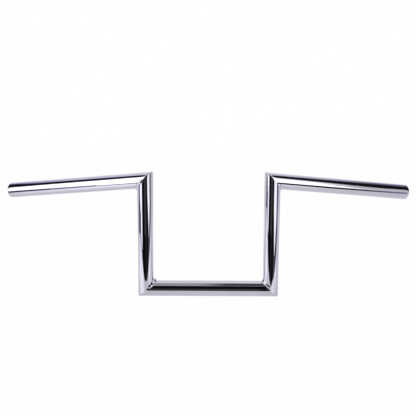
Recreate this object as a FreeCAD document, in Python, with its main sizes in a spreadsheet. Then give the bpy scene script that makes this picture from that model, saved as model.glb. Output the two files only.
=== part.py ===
import FreeCAD, Part
import os
import Sketcher
from FreeCAD import Vector

# A z-bar handlebar for a motorbike: five straight lengths of round steel tube, mitred where they
# meet, welded at the four corners, ground and chromed as one piece.
# The clamp tube runs along X with its middle at the origin, the two risers stand up along Z, and
# the two grip tubes run out from the tops of the risers, swept back along +Y to the rider and
# drooping a little towards their open ends. Sizes are in millimetres and degrees.

SIZES = [
    ("tube_diameter", 25.4),
    ("wall_thickness", 3.0),
    ("riser_spacing", 200.0),
    ("rise_height", 180.0),
    ("grip_length", 282.0),
    ("pullback_angle", 32.0),
    ("droop_angle", 12.0),
    ("corner_flat", 0.9),
    ("end_rounding", 1.2),
    ("bore_deburr", 0.5),
    ("bead_radius", 2.6),
    ("bead_sink", 0.5),
    ("bead_turn", 0.8),
]

doc = FreeCAD.newDocument("z_bar_handlebar")
sheet = doc.addObject("Spreadsheet::Sheet", "Dimensions")
for row, (alias, value) in enumerate(SIZES, start=1):
    sheet.set(f"A{row}", alias)
    sheet.set(f"B{row}", str(value))
    sheet.setAlias(f"B{row}", alias)
doc.recompute()

# Expressions that several pieces share. A mitre's half angle lies between a tube and the plane
# that it is cut along; the outer corner of the cut lies at the radius over that angle's sine.
RADIUS = "Dimensions.tube_diameter / 2"
BORE = f"({RADIUS} - Dimensions.wall_thickness)"
HALF_SPACING = "Dimensions.riser_spacing / 2"
LOWER = "45"
UPPER = "(45 - Dimensions.droop_angle / 2)"
LEFT_AZIMUTH = "(180 - Dimensions.pullback_angle)"
RIGHT_AZIMUTH = "Dimensions.pullback_angle"


def tip(half):
    """Length of a mitre's point past the crossing of the two axes."""
    return f"({RADIUS} / tan({half}))"


def corner(half):
    """Distance from the crossing of the two axes to the outer corner of their mitre."""
    return f"({RADIUS} / sin({half}))"


def plane(body, role):
    return next(f for f in body.Origin.OriginFeatures if f.Role == role)


def add_sketch(body, name, role, offset):
    sketch = body.newObject("Sketcher::SketchObject", name)
    sketch.AttachmentSupport = [(plane(body, role), "")]
    sketch.MapMode = "FlatFace"
    sketch.setExpression("AttachmentOffset", offset)
    return sketch


def bind(sketch, name, constraint, expression):
    """Add a driving dimension and tie it to the sheet."""
    index = sketch.addConstraint(constraint)
    sketch.renameConstraint(index, name)
    sketch.setExpression(f"Constraints.{name}", expression)


def add_tube(label, start, length):
    """A body padded from a ring, along its own Z, from start below its origin."""
    body = doc.addObject("PartDesign::Body", label)
    body.Label = label
    ring = add_sketch(body, f"{label}_ring", "XY_Plane",
                      f"placement(vector(0; 0; -{start}); rotation(0; 0; 0))")
    for geometry, (name, size) in enumerate((("outer", RADIUS), ("bore", BORE))):
        ring.addGeometry(Part.Circle(Vector(0, 0, 0), Vector(0, 0, 1), 12.0 - 3.0 * geometry))
        ring.addConstraint(Sketcher.Constraint("Coincident", geometry, 3, -1, 1))
        bind(ring, name, Sketcher.Constraint("Radius", geometry, 12.0 - 3.0 * geometry), size)
    pad = body.newObject("PartDesign::Pad", f"{label}_pad")
    pad.Profile = ring
    pad.setExpression("Length", length)
    doc.recompute()
    return body


def add_mitre(body, name, half, joint, azimuth, at_far_end):
    """Cut a tube along a mitre plane, and take a small flat off the sharp outer corner.

    The sketch lies in the plane of the two axes. Its X axis follows the mitre into the inside
    corner, and the tube is kept on one side of that axis."""
    turn = f"{'-' if at_far_end else ''}(90 - {half})"
    profile = add_sketch(
        body, name, "XZ_Plane",
        f"placement(vector(0; {joint}; 0); "
        f"rotation(vector(0; 1; 0); {azimuth}) * rotation(vector(0; 0; 1); {turn}))")
    side = -1 if at_far_end else 1
    points = [Vector(30, 0), Vector(-17, 0), Vector(-17, 12 * side),
              Vector(-30, 12 * side), Vector(-30, -38 * side), Vector(30, -38 * side)]
    for i, point in enumerate(points):
        profile.addGeometry(Part.LineSegment(point, points[(i + 1) % 6]))
    for i in range(6):
        profile.addConstraint(Sketcher.Constraint("Coincident", i, 2, (i + 1) % 6, 1))
        profile.addConstraint(Sketcher.Constraint("Vertical" if i % 2 else "Horizontal", i))
    profile.addConstraint(Sketcher.Constraint("PointOnObject", 0, 1, -1))
    bind(profile, "inner_reach", Sketcher.Constraint("DistanceX", -1, 1, 0, 1, 30),
         f"{corner(half)} + {RADIUS}")
    bind(profile, "flat_place", Sketcher.Constraint("DistanceX", 0, 2, -1, 1, 17),
         f"{corner(half)} - Dimensions.corner_flat")
    bind(profile, "outer_reach", Sketcher.Constraint("DistanceX", 3, 2, -1, 1, 30),
         f"{corner(half)} + {RADIUS}")
    near, far = ((1, 2), (1, 1)) if at_far_end else ((1, 1), (1, 2))
    bind(profile, "flat_width", Sketcher.Constraint("DistanceY", *near, *far, 12), RADIUS)
    near, far = ((5, 2), (5, 1)) if at_far_end else ((5, 1), (5, 2))
    bind(profile, "depth", Sketcher.Constraint("DistanceY", *near, *far, 38),
         f"Dimensions.tube_diameter + {RADIUS}")
    doc.recompute()
    whole = body.Shape.Volume
    pocket = body.newObject("PartDesign::Pocket", f"{name}_cut")
    pocket.Profile = profile
    pocket.SideType = "Symmetric"
    pocket.setExpression("Length", "2 * Dimensions.tube_diameter")
    doc.recompute()
    if not 0 < body.Shape.Volume < whole:
        raise RuntimeError(f"{name} takes nothing off its tube")
    return pocket


def rim(shape, radius):
    """Name of the round edge of a given radius at a tube's open end."""
    for i, edge in enumerate(shape.Edges, start=1):
        if isinstance(edge.Curve, Part.Circle) and abs(edge.Curve.Radius - radius) < 1e-6:
            return f"Edge{i}"
    raise RuntimeError("no open end of that radius")


def add_grip_tube(label, azimuth, side):
    """A grip tube, mitred at the riser and open at the outer end, with its edges broken."""
    body = add_tube(label, tip(UPPER), f"Dimensions.grip_length + {tip(UPPER)}")
    cut = add_mitre(body, f"{label}_mitre", UPPER, "0", "0", False)
    rounding = body.newObject("PartDesign::Fillet", f"{label}_end_rounding")
    rounding.Base = (cut, [rim(cut.Shape, sheet.tube_diameter / 2)])
    rounding.setExpression("Radius", "Dimensions.end_rounding")
    doc.recompute()
    deburr = body.newObject("PartDesign::Chamfer", f"{label}_bore_deburr")
    deburr.Base = (rounding, [rim(rounding.Shape, sheet.tube_diameter / 2 - sheet.wall_thickness)])
    deburr.setExpression("Size", "Dimensions.bore_deburr")
    doc.recompute()
    body.setExpression(
        "Placement",
        f"placement(vector({side}{HALF_SPACING}; 0; Dimensions.rise_height); "
        f"rotation(vector(0; 0; 1); {azimuth}) * rotation(vector(0; 1; 0); 90 + Dimensions.droop_angle))")
    return body


def add_riser(label, side, turn, top_azimuth):
    """A riser, mitred to the clamp tube below and to its grip tube above."""
    body = add_tube(label, tip(LOWER), f"Dimensions.rise_height + {tip(LOWER)} + {tip(UPPER)}")
    add_mitre(body, f"{label}_lower_mitre", LOWER, "0", "0", False)
    add_mitre(body, f"{label}_upper_mitre", UPPER, "Dimensions.rise_height", top_azimuth, True)
    body.setExpression(
        "Placement", f"placement(vector({side}{HALF_SPACING}; 0; 0); rotation(vector(0; 0; 1); {turn}))")
    return body


def add_weld(label, base, turn, half, first, second):
    """The bead in the inside of a corner, tapering out on the flanks where it is ground flush.

    The bead is a ring in the mitre plane that turns tighter than the seam, so that it stands
    proud in the inside corner and dives into the tubes on both flanks, where it is cut away."""
    frame = f"placement({base}; {turn})"
    ring_radius = f"(Dimensions.bead_turn * {RADIUS} * sin({half}))"
    bead = doc.addObject("Part::Torus", f"{label}_bead")
    bead.setExpression("Radius1", ring_radius)
    bead.setExpression("Radius2", "Dimensions.bead_radius")
    bead.setExpression(
        "Placement",
        f"{frame} * placement(vector(({RADIUS} - Dimensions.bead_sink) / sin({half}) - {ring_radius}; 0; 0); "
        "rotation(0; 0; 0))")
    trimmed = bead
    for name, lean in ((first, f"90 - {half}"), (second, f"90 + {half}")):
        outside = doc.addObject("Part::Cylinder", f"{label}_outside_of_{name}")
        outside.setExpression("Radius", RADIUS)
        outside.setExpression("Height", "4 * Dimensions.tube_diameter")
        outside.setExpression(
            "Placement", f"{frame} * placement(vector(0; 0; 0); rotation(vector(0; 1; 0); {lean})) * "
            "placement(vector(0; 0; -2 * Dimensions.tube_diameter); rotation(0; 0; 0))")
        cut = doc.addObject("Part::Cut", f"{label}_clear_of_{name}")
        cut.Base = trimmed
        cut.Tool = outside
        trimmed = cut
    trimmed.Label = label
    return trimmed


clamp_tube = add_tube("clamp_tube", tip(LOWER), f"Dimensions.riser_spacing + 2 * {tip(LOWER)}")
add_mitre(clamp_tube, "clamp_tube_left_mitre", LOWER, "0", "0", False)
add_mitre(clamp_tube, "clamp_tube_right_mitre", LOWER, "Dimensions.riser_spacing", "0", True)
clamp_tube.setExpression(
    "Placement", f"placement(vector(-{HALF_SPACING}; 0; 0); rotation(vector(1; 0; 1); 180))")

lower_left, lower_right = f"vector(-{HALF_SPACING}; 0; 0)", f"vector({HALF_SPACING}; 0; 0)"
upper_left = f"vector(-{HALF_SPACING}; 0; Dimensions.rise_height)"
upper_right = f"vector({HALF_SPACING}; 0; Dimensions.rise_height)"
dip = "rotation(vector(0; 1; 0); 45 + Dimensions.droop_angle / 2)"

nodes = [
    clamp_tube,
    add_riser("left_riser_tube", "-", "0", LEFT_AZIMUTH),
    add_riser("right_riser_tube", "", "180", "(180 + Dimensions.pullback_angle)"),
    add_grip_tube("left_grip_tube", LEFT_AZIMUTH, "-"),
    add_grip_tube("right_grip_tube", RIGHT_AZIMUTH, ""),
    add_weld("lower_left_weld", lower_left, "rotation(vector(0; 1; 0); -45)", LOWER, "riser", "clamp"),
    add_weld("lower_right_weld", lower_right, "rotation(vector(0; 1; 0); -135)", LOWER, "clamp", "riser"),
    add_weld("upper_left_weld", upper_left, f"rotation(vector(0; 0; 1); {LEFT_AZIMUTH}) * {dip}", UPPER,
             "grip", "riser"),
    add_weld("upper_right_weld", upper_right, f"rotation(vector(0; 0; 1); {RIGHT_AZIMUTH}) * {dip}", UPPER,
             "grip", "riser"),
]
doc.recompute()

for item in doc.Objects:
    if {"Invalid", "Error"} & set(item.State):
        raise RuntimeError(f"{item.Label} did not compute: {item.State}")
for node in nodes:
    if node.Shape.isNull() or not node.Shape.isValid() or len(node.Shape.Solids) != 1:
        raise RuntimeError(f"{node.Label} is not one valid solid")

os.makedirs("parts", exist_ok=True)
for node in nodes:
    node.Shape.exportStep(f"parts/{node.Label}.step")
    box = node.Shape.BoundBox
    print(f"{node.Label}: volume {node.Shape.Volume:.1f}, faces {len(node.Shape.Faces)}, "
          f"x {box.XMin:.2f} to {box.XMax:.2f}, y {box.YMin:.2f} to {box.YMax:.2f}, "
          f"z {box.ZMin:.2f} to {box.ZMax:.2f}")
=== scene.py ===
"""A chromed z-bar handlebar in a white photo studio: five mitred tubes and four polished weld beads."""
import math

import bmesh
import bpy
from mathutils import Matrix, Vector


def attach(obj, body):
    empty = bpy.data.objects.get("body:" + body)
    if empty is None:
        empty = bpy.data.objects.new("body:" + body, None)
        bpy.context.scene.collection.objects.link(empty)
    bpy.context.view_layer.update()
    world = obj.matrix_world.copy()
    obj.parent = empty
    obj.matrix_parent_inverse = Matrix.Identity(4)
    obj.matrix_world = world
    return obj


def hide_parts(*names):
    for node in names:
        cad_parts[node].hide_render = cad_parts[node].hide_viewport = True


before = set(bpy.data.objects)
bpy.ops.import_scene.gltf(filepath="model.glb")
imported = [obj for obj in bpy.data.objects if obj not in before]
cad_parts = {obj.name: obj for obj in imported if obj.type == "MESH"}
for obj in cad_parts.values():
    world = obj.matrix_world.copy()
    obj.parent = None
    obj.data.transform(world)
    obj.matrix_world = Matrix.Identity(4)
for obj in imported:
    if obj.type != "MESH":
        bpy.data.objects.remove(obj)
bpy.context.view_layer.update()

# The bar's sizes, in metres
TUBE_RADIUS = 0.0127
BORE_RADIUS = 0.0097
RISER_FROM_MIDDLE = 0.100
RISE = 0.180
GRIP_LENGTH = 0.282
PULLBACK = math.radians(32.0)
DROOP = math.radians(12.0)

# Tube work
SEAM_BLEND = 0.0014      # how far the polished seam rounds over onto each tube
SEAM_STEPS = 7           # odd, so that the mitre plane runs down the middle of the seam
SEAM_HOLD = 0.0065       # a ring that keeps the rest of the tube straight
END_ROUNDING = 0.0012
END_STEPS = 5
BORE_DEBURR = 0.0005
DEBURR_STEPS = 2
STUB = 0.045             # the start of a neighbouring tube, cut away again at the mitre
ROUND_STEPS = 96
PLANE_SLACK = 1e-6       # how far from a plane a corner may lie and still count as in it
SAW_SLACK = 1e-7
CRISP_ANGLE = math.radians(50)
PLATED = 0               # a tube's first finish, on its outside
BARE = 1                 # its second one, in the bore

# Weld beads
BEAD_STEPS = 192
BEAD_SEGMENTS = 32
BEAD_SINK = 0.0003
BEAD_TAPER = 0.25        # how much thinner a bead is at its ends
END_DIVE = 8             # a high power, so that a bead stays proud until it dives into the tubes
CROWN_SPREAD = 1.5
SECOND_LUMPS = 0.6       # a second, uneven row of lumps, as a share of the first
SECOND_PACE = 1.62
STRAY_PACE = 0.77        # how often a bead strays from side to side, against its lumps
BEADS = {
    "lower_left": {"front": 80, "back": 86, "radius": 0.0062, "crown": 0.0036, "tail": 0.0020,
                   "ripple": 0.00030, "lumps": 14.0, "peak": -38, "onto_riser": 0.0},
    "lower_right": {"front": 98, "back": 86, "radius": 0.0050, "crown": 0.0030, "tail": 0.0015,
                    "ripple": 0.0, "lumps": 12.0, "peak": 0, "onto_riser": 0.0036},
    "upper_left": {"front": 114, "back": 70, "radius": 0.0042, "crown": 0.0030, "tail": 0.0020,
                   "ripple": 0.00030, "lumps": 14.0, "peak": -120, "onto_riser": 0.0},
    "upper_right": {"front": 92, "back": 60, "radius": 0.0040, "crown": 0.0026, "tail": 0.0014,
                    "ripple": 0.00012, "lumps": 14.0, "peak": -40, "onto_riser": 0.0},
}

# Colours of the finishes
CHROME_DEEP = (0.558, 0.546, 0.640, 1)
CHROME_PALE = (0.592, 0.580, 0.670, 1)
CHROME_BY_WELD = (0.53, 0.52, 0.600, 1)
# The bore: steel colour at the mouth, and painted shade that is near black further in
MOUTH_DEEP = (0.20, 0.195, 0.19, 1)
MOUTH_PALE = (0.28, 0.28, 0.29, 1)
BORE_SHADE_DEEP = (0.010, 0.010, 0.010, 1)
BORE_SHADE_PALE = (0.018, 0.017, 0.016, 1)
WELD_HEART = 0.012       # the ground zone of a corner is even this far out, and ends at its reach
WELD_REACH = 0.034
WELD_TONE = 0.5          # how far the colour goes over to the one by the weld
WELD_HAZE = 0.02
CHROME_SMOOTH = 0.014    # roughness of the plating, and of the polish lines in it
CHROME_LINED = 0.032
BORE_SMOOTH = 0.34
BORE_LINED = 0.46
# painted shade: the bore is painted darker further in, so that it looks hollow
MOUTH_START = 0.009      # the bore darkens between these distances from the middle of the tube end
MOUTH_END = 0.030

# The studio: the table, and the walls that the cards hang on
TABLE_HEIGHT = -0.110
TABLE_MIDDLE = (0.22, 0.47)
TABLE_HALF = 0.95
TABLE_CUTS = [((-0.585, -0.255), (-0.21, -0.27)),
              ((-0.08, -0.352), (-0.077, -1.0)),
              ((-0.08, -0.352), (0.108, -1.0)),
              ((0.40, -0.2475), (0.175, -0.32))]
TABLE_WHITE = (0.96, 0.96, 0.96, 1)
TABLE_GLOW = 0.86
TABLE_SHADOW = 0.12      # the share of the table's look that still takes a shadow
POOLS = [((-0.53, -0.09), 0.30, 0.62),
         ((-0.29, -0.17), 0.20, 0.65),
         ((-0.40, -0.30), 0.15, 0.40),
         ((0.24, -0.24), 0.15, 0.70),
         ((0.46, -0.15), 0.17, 0.48),
         ((0.0, 0.30), 0.28, 0.75),
         ((-0.30, 0.52), 0.32, 0.60),
         ((0.26, 0.52), 0.32, 0.60)]
SIDE_WALL = 1.31
FRONT_WALL = -0.85
REAR_WALL = 1.24
CEILING = 1.40
LAYER = 0.01             # how far one card hangs in front of another
WHITE = (1, 1, 1, 1)
INK = (0.75, 0.78, 1.0, 1)
WARM = (1.0, 0.86, 0.84, 1)
WHOLE = (0.0, 1.0)       # a fade that runs over the whole card
WORLD_SEEN = 1.0
WORLD_LIGHT = 0.97

# The camera, fitted to the photograph
CAMERA_TURN = math.radians(-0.200)
CAMERA_RISE = math.radians(16.796)
CAMERA_ROLL = math.radians(0.339)
CAMERA_AIM = Vector((-0.001085, 0.0, 0.135263))
CAMERA_AWAY = 1.788123
SENSOR_WIDTH = 36.0
FOCAL_PIXELS = 1132.87
PICTURE_PIXELS = 416.0

ACROSS = Vector((1, 0, 0))
UP = Vector((0, 0, 1))
HANDS = {-1: "left", 1: "right"}


def lower_joint(side):
    """Where the clamp tube's axis meets a riser's; side is -1 on the left and 1 on the right."""
    return Vector((side * RISER_FROM_MIDDLE, 0, 0))


def upper_joint(side):
    """Where a riser's axis meets the grip tube's."""
    return Vector((side * RISER_FROM_MIDDLE, 0, RISE))


def grip_way(side):
    """The way the grip tube runs out from its riser: out, back and a little down."""
    return Vector((side * math.cos(DROOP) * math.cos(PULLBACK),
                   math.cos(DROOP) * math.sin(PULLBACK),
                   -math.sin(DROOP)))


def stand_at(place, x_way, y_way, z_way):
    """A move that stands a thing at a place, with its own axes along three ways."""
    move = Matrix((x_way, y_way, z_way)).transposed().to_4x4()
    move.translation = place
    return move


# Tubes
def onto_plane(way, point, normal):
    """A move that slides things along a tube until they lie in a plane."""
    steepness = way.dot(normal)
    move = Matrix.Identity(4)
    for row in range(3):
        for col in range(3):
            move[row][col] -= way[row] * normal[col] / steepness
    move.translation = way * (point.dot(normal) / steepness)
    return move


def ring_edges(ring):
    """The edges that join the corners of a ring, in order."""
    corners = set(ring)
    found = dict.fromkeys(e for v in ring for e in v.link_edges)
    return [e for e in found if e.verts[0] in corners and e.verts[1] in corners]


def draw_on(bm, ring, move):
    """Draws a wall on from a ring and moves the new ring into place; returns the new ring."""
    drawn = bmesh.ops.extrude_edge_only(bm, edges=ring_edges(ring))["geom"]
    new_ring = [v for v in drawn if isinstance(v, bmesh.types.BMVert)]
    bmesh.ops.transform(bm, matrix=move, verts=new_ring)
    return new_ring


def draw_wall(bm, radius, start, legs):
    """Draws a round wall from a starting ring along each leg (way, point, normal); returns its rings."""
    facing = legs[0][0].to_track_quat("Z", "Y").to_matrix().to_4x4()
    rings = [bmesh.ops.create_circle(bm, cap_ends=False, radius=radius, segments=ROUND_STEPS,
                                     matrix=Matrix.Translation(start) @ facing)["verts"]]
    for way, point, normal in legs:
        rings.append(draw_on(bm, rings[-1], onto_plane(way, point, normal)))
    return rings


def saw(bm, point, normal):
    """Saws the work at a plane and drops what lies on the normal's side."""
    bmesh.ops.bisect_plane(bm, geom=bm.verts[:] + bm.edges[:] + bm.faces[:], dist=SAW_SLACK,
                           plane_co=point, plane_no=normal, clear_outer=True)


def close_end(bm, point, normal):
    """Joins the outer wall to the bore in an end plane; the bore's rim is drawn out meanwhile."""
    rim = [e for e in bm.edges if e.is_boundary
           and all(abs((v.co - point).dot(normal)) < PLANE_SLACK for v in e.verts)]
    bore_rim = list({v for e in rim for v in e.verts
                     if any(f.material_index == BARE for f in v.link_faces)})
    bmesh.ops.translate(bm, vec=normal * TUBE_RADIUS, verts=bore_rim)
    bmesh.ops.bridge_loops(bm, edges=rim)
    bmesh.ops.translate(bm, vec=-normal * TUBE_RADIUS, verts=bore_rim)


def finish_mesh(bm, name, *finishes):
    """Smooths the work, keeps its real edges crisp and makes it a piece at the origin."""
    bmesh.ops.recalc_face_normals(bm, faces=bm.faces[:])
    for face in bm.faces:
        face.smooth = True
    for edge in bm.edges:
        edge.smooth = edge.calc_face_angle(0.0) < CRISP_ANGLE
    mesh = bpy.data.meshes.new(name)
    bm.to_mesh(mesh)
    bm.free()
    piece = bpy.data.objects.new(name, mesh)
    bpy.context.scene.collection.objects.link(piece)
    for finish in finishes:
        mesh.materials.append(finish)
    return piece


def mitre(way_out, way_on):
    """The normal of the plane that two tubes share, on the side of the second one."""
    return (way_on - way_out).normalized()


def make_tube(name, start, legs, seams, cuts, open_end, plating, bore_finish):
    """A tube with its half of each polished seam, drawn with stubs of its neighbours and then sawn.

    The seams are the numbers of the rings that lie in a mitre. A cut or an open end is a point and a
    normal.
    """
    bm = bmesh.new()
    outer = draw_wall(bm, TUBE_RADIUS, start, legs)
    bmesh.ops.bevel(bm, geom=[e for i in seams for e in ring_edges(outer[i])], offset=SEAM_BLEND,
                    offset_type="OFFSET", segments=SEAM_STEPS, profile=0.5, affect="EDGES",
                    material=-1, loop_slide=True)
    outside = set(bm.faces)
    inner = draw_wall(bm, BORE_RADIUS, start, legs)
    for face in bm.faces:
        face.material_index = PLATED if face in outside else BARE
    for point, normal in cuts:
        saw(bm, point, normal)
        close_end(bm, point, normal)
    if open_end:
        close_end(bm, *open_end)
        bmesh.ops.recalc_face_normals(bm, faces=bm.faces[:])
        bmesh.ops.bevel(bm, geom=ring_edges(outer[-1]), offset=END_ROUNDING, offset_type="OFFSET",
                        segments=END_STEPS, profile=0.5, affect="EDGES", material=PLATED)
        bmesh.ops.bevel(bm, geom=ring_edges(inner[-1]), offset=BORE_DEBURR, offset_type="OFFSET",
                        segments=DEBURR_STEPS, profile=0.5, affect="EDGES", material=-1)
    return finish_mesh(bm, name, plating, bore_finish)


def make_clamp_tube(plating, bore_finish):
    """The straight middle, mitred to a riser at each end."""
    left = lower_joint(-1)
    right = lower_joint(1)
    left_cut = mitre(ACROSS, UP)
    right_cut = mitre(-ACROSS, UP)
    legs = [(-UP, left, left_cut),
            (ACROSS, left + ACROSS * SEAM_HOLD, left_cut),
            (ACROSS, right - ACROSS * SEAM_HOLD, right_cut),
            (ACROSS, right, right_cut),
            (UP, right + UP * STUB, UP)]
    return make_tube("clamp_section", left + UP * STUB, legs, (1, 4),
                     [(left, left_cut), (right, right_cut)], None, plating, bore_finish)


def make_riser(side, plating, bore_finish):
    """An upright, mitred to the clamp tube below and the grip tube above."""
    foot = lower_joint(side)
    head = upper_joint(side)
    inward = -ACROSS * side
    out = grip_way(side)
    foot_cut = mitre(UP, inward)
    head_cut = mitre(-UP, out)
    legs = [(-inward, foot, foot_cut),
            (UP, foot + UP * SEAM_HOLD, foot_cut),
            (UP, head - UP * SEAM_HOLD, head_cut),
            (UP, head, head_cut),
            (out, head + out * STUB, out)]
    return make_tube(HANDS[side] + "_riser", foot + inward * STUB, legs, (1, 4),
                     [(foot, foot_cut), (head, head_cut)], None, plating, bore_finish)


def make_grip_tube(side, plating, bore_finish):
    """A grip tube, mitred to its riser and cut square at the open end."""
    head = upper_joint(side)
    out = grip_way(side)
    head_cut = mitre(out, -UP)
    end = head + out * GRIP_LENGTH
    legs = [(UP, head, head_cut),
            (out, head + out * SEAM_HOLD, head_cut),
            (out, end - out * SEAM_HOLD, out),
            (out, end, out)]
    return make_tube(HANDS[side] + "_grip_end", head - UP * STUB, legs, (1,),
                     [(head, head_cut)], (end, out), plating, bore_finish)


# Beads
def make_bead(name, joint, riser_way, other_way, shape, plating):
    """A weld bead that follows the seam round an inside corner and sinks into the tubes at both ends.

    Its shape says how many degrees it runs round to the front and the back, the radius of its section, how
    proud it stands at the crown and the tails, the height, pace and peak of its lumps, and how far it lies
    over onto the riser.
    """
    middle = (riser_way + other_way).normalized()
    to_riser = (riser_way - other_way).normalized()
    sideways = to_riser.cross(middle)
    sideways *= math.copysign(1.0, sideways.y)
    seam_long = TUBE_RADIUS / math.sin(riser_way.angle(other_way) / 2)
    seam_short = TUBE_RADIUS
    front = math.radians(shape["front"])
    back = math.radians(shape["back"])
    peak = math.radians(shape["peak"])

    def section(i):
        """Where the bead's section stands at a step, and how wide it is there."""
        share = 2 * i / BEAD_STEPS - 1
        angle = i / BEAD_STEPS * (front + back) - front
        seat = middle * seam_long * math.cos(angle) + sideways * seam_short * math.sin(angle)
        slope = middle * math.cos(angle) / seam_long + sideways * math.sin(angle) / seam_short
        outward = slope.normalized()
        fade = 1 - share ** END_DIVE
        beat = (angle - peak) * shape["lumps"]
        lump = shape["ripple"] * (math.cos(beat) + SECOND_LUMPS * math.cos(SECOND_PACE * beat))
        swell = (shape["crown"] - shape["tail"]) * math.cos(angle / CROWN_SPREAD) ** 2
        proud = (shape["tail"] + swell + lump) * fade
        stray = (shape["ripple"] * math.sin(STRAY_PACE * beat) + shape["onto_riser"]) * fade
        place = joint + seat + outward * (proud - BEAD_SINK - shape["radius"]) + to_riser * stray
        width = 1 - BEAD_TAPER * share ** 2
        return stand_at(place, outward, to_riser, to_riser.cross(outward)) @ Matrix.Scale(width, 4)

    bm = bmesh.new()
    ring = bmesh.ops.create_circle(bm, cap_ends=True, radius=shape["radius"], segments=BEAD_SEGMENTS,
                                   matrix=section(0))["verts"]
    for i in range(BEAD_STEPS):
        ring = draw_on(bm, ring, section(i + 1) @ section(i).inverted())
    bmesh.ops.contextual_create(bm, geom=ring_edges(ring))
    return finish_mesh(bm, name, plating)


# Shader work
def feed(tree, socket, value):
    """Joins a socket to another node's output, or gives it a plain value."""
    if isinstance(value, bpy.types.NodeSocket):
        tree.links.new(value, socket)
    else:
        socket.default_value = value


def add_node(tree, kind, **settings):
    """A new shader node; its settings have small letters, and its inputs start with a capital."""
    made = tree.nodes.new(kind)
    for key, value in settings.items():
        if key[0].islower():
            setattr(made, key, value)
        else:
            feed(tree, made.inputs[key.replace("_", " ")], value)
    return made


def new_group(name, inputs, outputs):
    """An empty shader node group with named sockets; returns it with its input and output nodes."""
    group = bpy.data.node_groups.new(name, "ShaderNodeTree")
    for socket, kind, value in inputs:
        made = group.interface.new_socket(name=socket, in_out="INPUT", socket_type=kind)
        made.default_value = value
    for socket in outputs:
        group.interface.new_socket(name=socket, in_out="OUTPUT", socket_type="NodeSocketFloat")
    return group, group.nodes.new("NodeGroupInput"), group.nodes.new("NodeGroupOutput")


def combine(tree, operation, first, second, **settings):
    """Two values made into one: their sum, their product or the lesser of them."""
    made = add_node(tree, "ShaderNodeMath", operation=operation, **settings)
    feed(tree, made.inputs[0], first)
    feed(tree, made.inputs[1], second)
    return made.outputs["Value"]


def blend_values(tree, factor, low, high):
    """A value between two, by a mask."""
    return add_node(tree, "ShaderNodeMapRange", Value=factor, To_Min=low, To_Max=high).outputs["Result"]


def blend_colours(tree, factor, first, second):
    """A colour between two, by a mask."""
    made = add_node(tree, "ShaderNodeMix", data_type="RGBA")
    sockets = {socket.identifier: socket for socket in [*made.inputs, *made.outputs]}
    feed(tree, sockets["Factor_Float"], factor)
    feed(tree, sockets["A_Color"], first)
    feed(tree, sockets["B_Color"], second)
    return sockets["Result_Color"]


def ease(tree, value, start, end, first, last):
    """Goes softly from a first value to a last one, between the start and the end of a measure."""
    made = add_node(tree, "ShaderNodeMapRange", interpolation_type="SMOOTHSTEP", Value=value,
                    From_Min=start, From_Max=end, To_Min=first, To_Max=last)
    return made.outputs["Result"]


def object_place(tree):
    """Where a point lies in the object's own coordinates."""
    return add_node(tree, "ShaderNodeTexCoord").outputs["Object"]


def folded_place(tree):
    """The same with the two halves of the bar folded together."""
    folded = add_node(tree, "ShaderNodeVectorMath", operation="ABSOLUTE")
    feed(tree, folded.inputs[0], object_place(tree))
    return folded.outputs["Vector"]


def distance(tree, place, point):
    """How far a place is from a fixed point."""
    away = add_node(tree, "ShaderNodeVectorMath", operation="DISTANCE")
    feed(tree, away.inputs[0], place)
    feed(tree, away.inputs[1], point)
    return away.outputs["Value"]


# Finishes
def make_polish_marks():
    """What hand polishing leaves: faint clouds, fine lines round the tube and a slow waviness."""
    group, given, out = new_group(
        "polish_marks",
        [("Along", "NodeSocketVector", (1, 0, 0)),
         ("Cloud Scale", "NodeSocketFloat", 22.0),
         ("Line Scale", "NodeSocketFloat", 2200.0),
         ("Wave Scale", "NodeSocketFloat", 55.0)],
        ["Clouds", "Lines", "Waves"])
    place = object_place(group)

    clouds = add_node(group, "ShaderNodeTexNoise", Vector=place, Scale=given.outputs["Cloud Scale"],
                      Detail=4.0, Roughness=0.55)
    soft = add_node(group, "ShaderNodeMapRange", Value=clouds.outputs["Fac"], From_Min=0.36, From_Max=0.66)
    feed(group, out.inputs["Clouds"], soft.outputs["Result"])

    reach = add_node(group, "ShaderNodeVectorMath", operation="DOT_PRODUCT")
    feed(group, reach.inputs[0], place)
    feed(group, reach.inputs[1], given.outputs["Along"])
    lines = add_node(group, "ShaderNodeTexNoise", noise_dimensions="1D", W=reach.outputs["Value"],
                     Scale=given.outputs["Line Scale"], Detail=3.0, Roughness=0.7)
    patches = add_node(group, "ShaderNodeTexNoise", Vector=place, Scale=140.0, Detail=2.0)
    broken = combine(group, "MULTIPLY", lines.outputs["Fac"], patches.outputs["Fac"])
    crisp = add_node(group, "ShaderNodeMapRange", Value=broken, From_Min=0.16, From_Max=0.42)
    feed(group, out.inputs["Lines"], crisp.outputs["Result"])

    waves = add_node(group, "ShaderNodeTexNoise", Vector=place, Scale=given.outputs["Wave Scale"],
                     Detail=1.0, Roughness=0.3)
    feed(group, out.inputs["Waves"], waves.outputs["Fac"])
    return group


def make_weld_zone():
    """How near a point is to a corner, where the weld was ground back before plating."""
    group, given, out = new_group("weld_zone", [("Reach", "NodeSocketFloat", WELD_REACH)], ["Nearness"])
    place = folded_place(group)
    nearest = combine(group, "MINIMUM", distance(group, place, lower_joint(1)),
                      distance(group, place, upper_joint(1)))
    nearness = ease(group, nearest, WELD_HEART, given.outputs["Reach"], 1.0, 0.0)
    feed(group, out.inputs["Nearness"], nearness)
    return group


def make_finish(name):
    """An empty finish with its shader; returns the finish, its tree and the shader."""
    finish = bpy.data.materials.new(name)
    finish.use_nodes = True
    tree = finish.node_tree
    return finish, tree, tree.nodes["Principled BSDF"]


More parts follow.
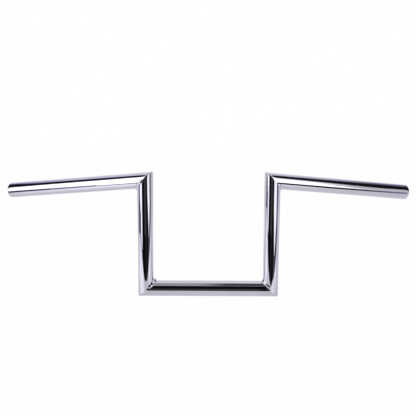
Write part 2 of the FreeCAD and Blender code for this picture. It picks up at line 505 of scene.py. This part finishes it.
def make_chrome(name, along, polish, zone, dull=0.0, wave=0.00006):
    """Decorative chrome over polished steel, with the lines running round a tube that lies along a way."""
    finish, tree, shader = make_finish(name)
    marks = add_node(tree, "ShaderNodeGroup", node_tree=polish, Along=along).outputs
    nearness = add_node(tree, "ShaderNodeGroup", node_tree=zone).outputs["Nearness"]

    cloudy = blend_colours(tree, marks["Clouds"], CHROME_DEEP, CHROME_PALE)
    by_weld = blend_values(tree, nearness, 0.0, WELD_TONE)
    feed(tree, shader.inputs["Base Color"], blend_colours(tree, by_weld, cloudy, CHROME_BY_WELD))

    lined = blend_values(tree, marks["Lines"], CHROME_SMOOTH + dull, CHROME_LINED + dull)
    hazed = blend_values(tree, nearness, 0.0, WELD_HAZE)
    feed(tree, shader.inputs["Roughness"], combine(tree, "ADD", lined, hazed))

    bump = add_node(tree, "ShaderNodeBump", Strength=1.0, Distance=wave, Height=marks["Waves"])
    feed(tree, shader.inputs["Normal"], bump.outputs["Normal"])
    shader.inputs["Metallic"].default_value = 1.0
    return finish


def make_bore_steel(polish):
    """The unpolished inside of the tube: drawn steel, painted with shade that turns it almost black a
    little way in from the mouth.
    """
    finish, tree, shader = make_finish("bore_steel")
    marks = add_node(tree, "ShaderNodeGroup", node_tree=polish, Along=(0.3, 0.9, 0.3), Cloud_Scale=90.0,
                     Line_Scale=900.0).outputs
    mouth = upper_joint(1) + grip_way(1) * GRIP_LENGTH
    # painted shade: the steel colour at the mouth goes over to near black further in
    painted_shade_depth = ease(tree, distance(tree, folded_place(tree), mouth), MOUTH_START, MOUTH_END, 0.0, 1.0)
    mouth_steel = blend_colours(tree, marks["Clouds"], MOUTH_DEEP, MOUTH_PALE)
    painted_bore_shade = blend_colours(tree, marks["Clouds"], BORE_SHADE_DEEP, BORE_SHADE_PALE)
    feed(tree, shader.inputs["Base Color"], blend_colours(tree, painted_shade_depth, mouth_steel, painted_bore_shade))
    feed(tree, shader.inputs["Roughness"], blend_values(tree, marks["Lines"], BORE_SMOOTH, BORE_LINED))
    bump = add_node(tree, "ShaderNodeBump", Strength=0.15, Distance=0.0001, Height=marks["Lines"])
    feed(tree, shader.inputs["Normal"], bump.outputs["Normal"])
    shader.inputs["Metallic"].default_value = 1.0
    return finish


# Studio
def seen_directly(tree):
    """1 where a surface is seen by the camera, in a reflection or through glass, else 0."""
    path = add_node(tree, "ShaderNodeLightPath").outputs
    seen = combine(tree, "ADD", path["Is Camera Ray"], path["Is Glossy Ray"])
    return combine(tree, "ADD", seen, path["Is Transmission Ray"], use_clamp=True)


def make_table():
    """A plain white table top under the bar, with pools of light on it; it keeps a faint shadow."""
    bm = bmesh.new()
    bmesh.ops.create_grid(bm, x_segments=1, y_segments=1, size=TABLE_HALF)
    bmesh.ops.translate(bm, vec=(*TABLE_MIDDLE, TABLE_HEIGHT), verts=bm.verts[:])
    for point, normal in TABLE_CUTS:
        saw(bm, Vector((*point, TABLE_HEIGHT)), Vector((*normal, 0.0)))
    finish, tree, shader = make_finish("white_table")
    shader.inputs["Base Color"].default_value = TABLE_WHITE
    shader.inputs["Roughness"].default_value = 0.9
    shader.inputs["Specular IOR Level"].default_value = 0.0
    place = object_place(tree)
    light = TABLE_GLOW
    for middle, reach, extra in POOLS:
        away = distance(tree, place, (*middle, TABLE_HEIGHT))
        light = combine(tree, "ADD", light, ease(tree, away, 0.0, reach, extra, 0.0))
    path = add_node(tree, "ShaderNodeLightPath")
    level = blend_values(tree, path.outputs["Is Camera Ray"], light, 1.0)
    glow = add_node(tree, "ShaderNodeEmission", Color=WHITE, Strength=level)
    mix = add_node(tree, "ShaderNodeMixShader")
    feed(tree, mix.inputs[0], blend_values(tree, seen_directly(tree), 0.0, 1.0 - TABLE_SHADOW))
    feed(tree, mix.inputs[1], shader.outputs["BSDF"])
    feed(tree, mix.inputs[2], glow.outputs["Emission"])
    feed(tree, tree.nodes["Material Output"].inputs["Surface"], mix.outputs["Shader"])
    table = finish_mesh(bm, "table_top", finish)


def make_card(name, middle, width_way, height_way, colour, glow, fade=WHOLE):
    """A studio card that only shows in reflections; its glow fades across its width from end to end."""
    across = Vector(width_way)
    up = Vector(height_way)
    bm = bmesh.new()
    bm.loops.layers.uv.new("across")
    bmesh.ops.create_grid(bm, x_segments=1, y_segments=1, size=0.5, calc_uvs=True,
                          matrix=stand_at(Vector(middle), across, up, across.cross(up).normalized()))
    finish, tree, shader = make_finish(name)
    tree.nodes.remove(shader)
    place = add_node(tree, "ShaderNodeTexCoord")
    parts = add_node(tree, "ShaderNodeSeparateXYZ", Vector=place.outputs["UV"])
    light = add_node(tree, "ShaderNodeEmission", Color=colour,
                     Strength=ease(tree, parts.outputs["X"], *fade, *glow))
    feed(tree, tree.nodes["Material Output"].inputs["Surface"], light.outputs["Emission"])
    card = finish_mesh(bm, name, finish)
    card.visible_camera = False
    card.visible_diffuse = False
    card.visible_shadow = False
    card.visible_transmission = False


def side_card(name, side, layer, middle, size, colour, glow, fade=WHOLE, lean=0.0):
    """A card on a side wall, some layers in front of it; a lean moves its top back along the wall."""
    make_card(name, (side * (SIDE_WALL - layer * LAYER), *middle), (0, size[0], 0), (0, lean, size[1]),
              colour, glow, fade)


def front_card(name, layer, middle, size, colour, glow):
    """An evenly lit card on the front wall, facing the bar."""
    make_card(name, (middle[0], FRONT_WALL + layer * LAYER, middle[1]), (size[0], 0, 0), (0, 0, size[1]),
              colour, (glow, glow))


def make_front_cards():
    """Dark flags in front of the bar, with a weak gleam on them, and a bright wing on each side."""
    front_card("front_flag", 0, (-0.235, 0.20), (1.39, 2.00), INK, 0.008)
    front_card("front_gleam", 1, (-0.065, 0.0), (0.39, 0.36), WARM, 0.07)
    front_card("front_gleam_foot", 1, (0.03, -0.32), (0.20, 0.28), WARM, 0.035)
    front_card("low_flag", -5, (0, -0.66), (2.90, 0.76), INK, 0.06)
    make_card("left_wing", (-1.13, -0.72, 0.20), (-0.50, 0.26, 0), (0, 0, 1.06), WHITE,
              (0.02, 1.7), (0.0, 0.2))
    make_card("right_wing", (0.86, -0.72, 0.21), (0.90, 0.26, 0), (0, 0, 1.02), WHITE,
              (0.02, 1.6), (0.0, 0.13))
    make_card("right_wing_corner", (0.615, -0.781, -0.318), (0.47, 0.136, -0.235), (0, 0, 0.25), INK,
              (0.02, 0.25), (0.35, 1.0))


def make_side_cards():
    """A softbox on each side wall, what shows below it, and a dark curtain behind it."""
    side_card("left_softbox", -1, 1, (-0.16, 0.56), (0.88, 1.20), WHITE, (2.3, 0.05), (0.75, 0.94),
              lean=-0.20)
    side_card("left_skirt", -1, 1, (-0.52, -0.145), (0.28, 0.21), WHITE, (2.0, 2.0))
    side_card("left_ledge", -1, 0, (-0.03, -0.12), (0.75, 0.17), INK, (0.95, 0.60), (0.05, 0.32))
    side_card("left_gap", -1, 0, (-0.14, -0.35), (0.97, 0.29), INK, (0.45, 0.22), (0.05, 0.32))
    side_card("left_gap_foot", -1, 0.5, (-0.22, -0.40), (0.26, 0.16), INK, (0.03, 0.03))
    side_card("left_gap_end", -1, 0.6, (-0.19, -0.23), (0.13, 0.20), INK, (0.06, 0.06))
    side_card("left_curtain", -1, 0, (0.645, 0.54), (1.19, 1.08), INK, (0.01, 0.12), (0.45, 1.0))
    side_card("left_curtain_top", -1, 0, (0.645, 1.29), (1.19, 0.42), INK, (0.01, 1.0), (0.58, 0.85))
    side_card("right_softbox", 1, 1, (-0.26, 0.48), (0.68, 1.04), WHITE, (2.3, 0.05), (0.51, 0.94),
              lean=0.24)
    side_card("right_skirt", 1, 1.5, (-0.09, 0.24), (0.26, 0.40), WHITE, (0.8, 0.8))
    side_card("right_gap", 1, 0, (-0.30, -0.27), (1.30, 0.45), INK, (0.04, 0.75), (0.50, 0.737))
    side_card("right_curtain", 1, 0, (0.67, 0.75), (1.14, 1.70), INK, (0.01, 0.30), (0.45, 1.0))


def make_rear_and_top_cards():
    """The ends of the curtains round the back, and a grey ceiling with a shade on its right."""
    make_card("left_rear_curtain", (-1.02, REAR_WALL, 0.62), (0.58, 0, 0), (0, 0, 1.10), INK,
              (0.05, 1.0), (0.05, 0.6))
    make_card("right_rear_curtain", (1.00, REAR_WALL, 0.62), (-0.62, 0, 0), (0, 0, 1.10), INK,
              (0.20, 0.9), (0.2, 1.0))
    make_card("ceiling", (0, -0.36, CEILING), (0, 1.10, 0), (1.2, 0, 0), WHITE, (0.45, 0.47))
    make_card("ceiling_shade", (0.085, -0.36, CEILING - LAYER), (0.23, 0, 0), (0, 1.10, 0), WHITE,
              (0.46, 0.07), (0.0, 0.43))


def make_world():
    """White all round: full white where it is seen, a little less as light."""
    world = bpy.data.worlds.new("white_studio")
    bpy.context.scene.world = world
    world.use_nodes = True
    tree = world.node_tree
    sky = tree.nodes["Background"]
    sky.inputs["Color"].default_value = WHITE
    feed(tree, sky.inputs["Strength"], blend_values(tree, seen_directly(tree), WORLD_LIGHT, WORLD_SEEN))


def make_camera():
    """The photograph's view: a long lens, a little above the bar, for a square picture."""
    back = Vector((math.sin(CAMERA_TURN) * math.cos(CAMERA_RISE),
                   -math.cos(CAMERA_TURN) * math.cos(CAMERA_RISE),
                   math.sin(CAMERA_RISE)))
    level = (-back).cross(UP).normalized()
    upright = level.cross(-back)
    right = level * math.cos(CAMERA_ROLL) + upright * math.sin(CAMERA_ROLL)
    up = upright * math.cos(CAMERA_ROLL) - level * math.sin(CAMERA_ROLL)
    lens = bpy.data.cameras.new("studio_camera")
    lens.sensor_width = SENSOR_WIDTH
    lens.lens = SENSOR_WIDTH * FOCAL_PIXELS / PICTURE_PIXELS
    camera = bpy.data.objects.new("studio_camera", lens)
    bpy.context.scene.collection.objects.link(camera)
    camera.matrix_world = stand_at(CAMERA_AIM + back * CAMERA_AWAY, right, up, back)
    bpy.context.scene.camera = camera


# The bar
def make_bar():
    """All nine pieces, each in the place of its solid."""
    polish = make_polish_marks()
    zone = make_weld_zone()
    steel = make_bore_steel(polish)
    clamp_chrome = make_chrome("chrome_clamp", ACROSS, polish, zone)
    riser_chrome = make_chrome("chrome_risers", UP, polish, zone)
    bead_chrome = make_chrome("chrome_beads", (0.6, 0.6, 0.5), polish, zone, dull=0.03, wave=0.00012)
    placed = [(make_clamp_tube(clamp_chrome, steel), "clamp_tube")]
    for side, hand in HANDS.items():
        out = grip_way(side)
        grip_chrome = make_chrome("chrome_%s_grip" % hand, out, polish, zone)
        riser = make_riser(side, riser_chrome, steel)
        grip_tube = make_grip_tube(side, grip_chrome, steel)
        lower_bead = make_bead("lower_%s_bead" % hand, lower_joint(side), UP, -ACROSS * side,
                               BEADS["lower_%s" % hand], bead_chrome)
        upper_bead = make_bead("upper_%s_bead" % hand, upper_joint(side), -UP, out,
                               BEADS["upper_%s" % hand], bead_chrome)
        placed += [(riser, "%s_riser_tube" % hand),
                   (grip_tube, "%s_grip_tube" % hand),
                   (lower_bead, "lower_%s_weld" % hand),
                   (upper_bead, "upper_%s_weld" % hand)]
    for piece, node in placed:
        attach(piece, "root")
        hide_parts(node)


make_bar()
make_table()
make_front_cards()
make_side_cards()
make_rear_and_top_cards()
make_world()
make_camera()
bpy.context.scene.view_settings.view_transform = "Standard"
